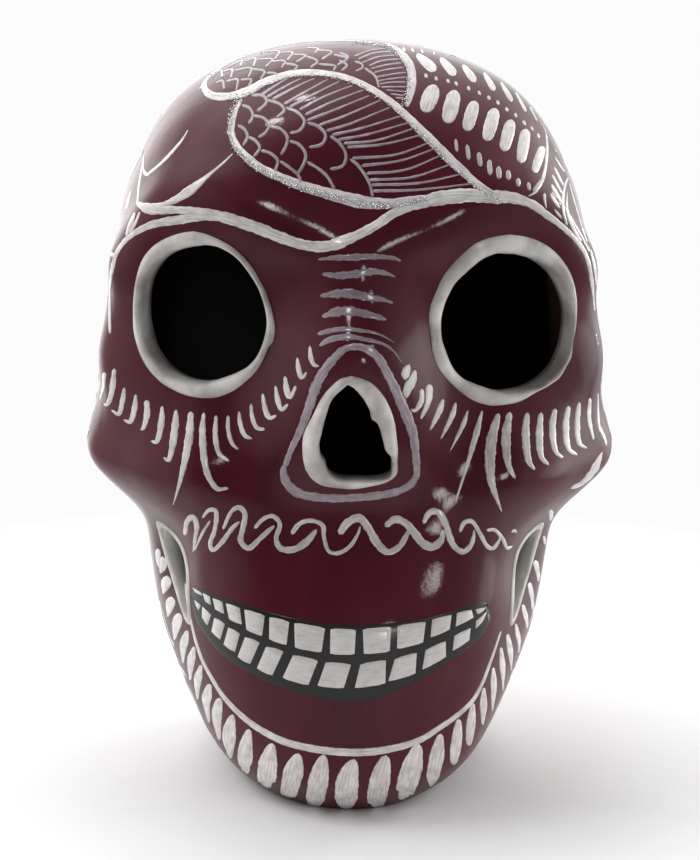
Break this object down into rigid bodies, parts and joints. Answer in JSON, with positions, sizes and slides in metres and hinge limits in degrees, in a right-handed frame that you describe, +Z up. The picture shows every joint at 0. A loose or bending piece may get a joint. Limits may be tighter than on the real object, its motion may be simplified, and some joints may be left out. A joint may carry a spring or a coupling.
{
  "type": "sugar skull",
  "caption": "Hollow glazed clay skull pressed in halves, with rimmed eye, nose and jaw openings and a flat foot to stand on.",
  "frame": {"origin": "middle of the bounding box on the plane that the flat foot rests on", "axes": "+Z up, the face looks toward -Y, +X is to the right when the face is looked at"},
  "size_m": [0.128, 0.148, 0.18],
  "materials": {
    "maroon_glaze": "dark maroon paint under a clear gloss varnish",
    "white_paint": "clay with streaky off-white paint, satin",
    "bare_clay": "unpainted fired clay, matte"
  },
  "bodies": {
    "root": {"face_shell": "maroon_glaze", "cranium_shell": "maroon_glaze", "seam_coil": "bare_clay", "nose_rim": "white_paint", "left_eye_rim": "white_paint", "right_eye_rim": "white_paint", "left_jaw_slot_rim": "white_paint", "right_jaw_slot_rim": "white_paint"}
  },
  "joints": []
}
